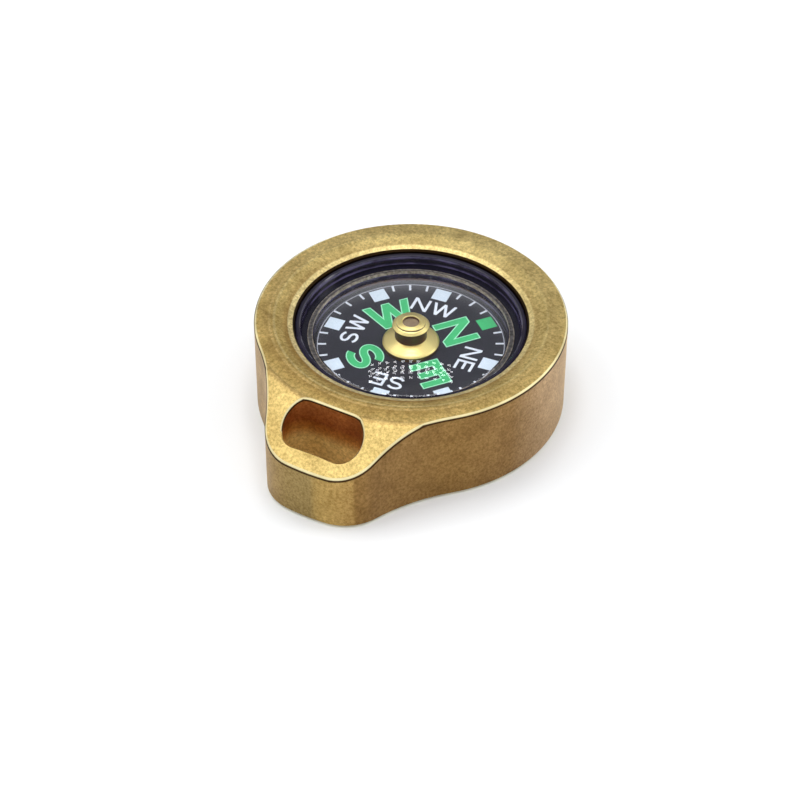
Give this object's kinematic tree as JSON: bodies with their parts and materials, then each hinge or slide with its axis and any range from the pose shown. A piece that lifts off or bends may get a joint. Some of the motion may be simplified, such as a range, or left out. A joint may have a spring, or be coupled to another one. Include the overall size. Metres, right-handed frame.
{
  "type": "compass pendant",
  "caption": "Brass compass pendant: a round crested case with a sloping slotted tab for a cord, holding a domed capsule in which a magnetic dial turns on a jewelled needle pivot.",
  "frame": {"origin": "point on the dial's pivot axis in the case's flat back face", "axes": "+Z along the pivot axis, out of the window; +Y from the origin away from the slotted tab, so the tab points to -Y; +X to the right when the tab is nearest the viewer"},
  "size_m": [0.027, 0.0317, 0.0088],
  "materials": {
    "case_brass": "satin, fine blasted grain",
    "turned_brass": "bright turned",
    "capsule_black": "gloss",
    "card_black": "matt, printed",
    "seal_rubber": "matt",
    "bedding_foam": "matt",
    "lens_clear": "polished, clear",
    "jewel_red": "polished",
    "needle_steel": "ground",
    "magnet_steel": "ground"
  },
  "bodies": {
    "case": {"case_body": "case_brass", "bedding_pad": "bedding_foam", "capsule_cup": "capsule_black", "lens_seal": "seal_rubber", "lens": "lens_clear", "pivot_post": "turned_brass", "pivot_needle": "needle_steel"},
    "dial": {"dial_card": "card_black", "magnet_bar": "magnet_steel", "clamp_washer": "turned_brass", "hub": "turned_brass", "jewel": "jewel_red", "jewel_bezel": "turned_brass"}
  },
  "joints": [
    {"name": "dial_spin", "type": "hinge", "parent": "case", "child": "dial", "pos_m": [0, 0, 0.0075], "axis": [0, 0, 1], "continuous": true}
  ]
}
